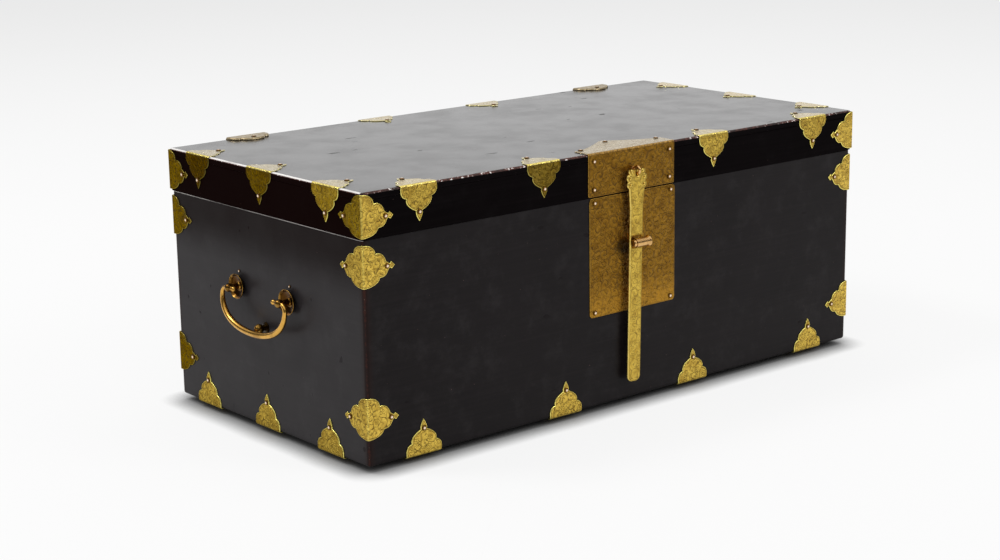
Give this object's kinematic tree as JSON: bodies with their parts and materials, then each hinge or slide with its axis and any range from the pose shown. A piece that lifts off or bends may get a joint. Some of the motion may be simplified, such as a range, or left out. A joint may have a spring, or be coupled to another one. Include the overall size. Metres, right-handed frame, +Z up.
{
  "type": "trunk",
  "caption": "Long low lacquered wooden trunk with a shallow hinged lid, engraved brass edge and corner mounts, a long hasp strap with a lock pin, and a bail handle on each end.",
  "frame": {"origin": "on the floor, under the middle of the outer box", "axes": "+X along the trunk's length towards its right end, +Y from the front with the lock to the back with the hinges, +Z up"},
  "size_m": [0.9082, 0.4567, 0.3469],
  "materials": {
    "lacquer": "satin, worn near-black brown lacquer",
    "bare_wood": "matt, dark stained",
    "bright_brass": "engraved, rubbed bright",
    "dark_brass": "engraved, dark patina",
    "handle_brass": "smooth, handled, antique"
  },
  "bodies": {
    "case": {"front_board": "lacquer", "back_board": "lacquer", "left_end_board": "lacquer", "right_end_board": "lacquer", "bottom_board": "bare_wood", "base_batten_front": "bare_wood", "base_batten_back": "bare_wood", "case_lock_plate": "dark_brass", "lock_staple": "handle_brass", "base_mount_front_1": "bright_brass", "base_mount_front_2": "bright_brass", "base_mount_front_3": "bright_brass", "base_mount_front_4": "bright_brass", "base_mount_left_1": "bright_brass", "base_mount_left_2": "bright_brass", "base_mount_left_3": "bright_brass", "upper_corner_front_left": "bright_brass", "upper_corner_front_right": "bright_brass", "upper_corner_back_left": "bright_brass", "lower_corner_front_left": "bright_brass", "lower_corner_front_right": "bright_brass", "lower_corner_back_left": "bright_brass", "left_back_rosette": "handle_brass", "left_front_rosette": "handle_brass", "right_back_rosette": "handle_brass", "right_front_rosette": "handle_brass", "left_back_post": "handle_brass", "left_front_post": "handle_brass", "right_back_post": "handle_brass", "right_front_post": "handle_brass", "left_striker": "handle_brass", "right_striker": "handle_brass", "left_hinge_case_leaf": "dark_brass", "right_hinge_case_leaf": "dark_brass", "left_hinge_pin": "dark_brass", "right_hinge_pin": "dark_brass"},
    "lid": {"lid_top_board": "lacquer", "lid_front_rail": "lacquer", "lid_back_rail": "lacquer", "lid_left_rail": "lacquer", "lid_right_rail": "lacquer", "lid_lock_plate": "dark_brass", "hasp_staple": "handle_brass", "lid_mount_front_1": "bright_brass", "lid_mount_front_2": "bright_brass", "lid_mount_front_3": "bright_brass", "lid_mount_front_4": "bright_brass", "lid_mount_left_1": "bright_brass", "lid_mount_left_2": "bright_brass", "lid_mount_left_3": "bright_brass", "lid_corner_front_left": "bright_brass", "lid_corner_front_right": "bright_brass", "lid_corner_back_left": "bright_brass", "left_hinge_lid_leaf": "dark_brass", "right_hinge_lid_leaf": "dark_brass"},
    "hasp": {"hasp_strap": "bright_brass"},
    "lock_pin": {"lock_pin": "handle_brass"},
    "left_bail": {"left_bail": "handle_brass"},
    "right_bail": {"right_bail": "handle_brass"}
  },
  "joints": [
    {"name": "lid_hinge", "type": "hinge", "parent": "case", "child": "lid", "pos_m": [0, 0.22403, 0.28565], "axis": [-1, 0, 0], "range_deg": [0, 105]},
    {"name": "hasp_swing", "type": "hinge", "parent": "lid", "child": "hasp", "pos_m": [0.00196, -0.21377, 0.3137], "axis": [-1, 0, 0], "range_deg": [0, 175]},
    {"name": "lock_pin_slide", "type": "slide", "parent": "case", "child": "lock_pin", "axis": [1, 0, 0], "range_m": [0, 0.024]},
    {"name": "left_bail_swing", "type": "hinge", "parent": "case", "child": "left_bail", "pos_m": [-0.4455, 0.00653, 0.1845], "axis": [0, 1, 0], "range_deg": [0, 170]},
    {"name": "right_bail_swing", "type": "hinge", "parent": "case", "child": "right_bail", "pos_m": [0.4455, 0.00653, 0.1845], "axis": [0, -1, 0], "range_deg": [0, 170]}
  ]
}
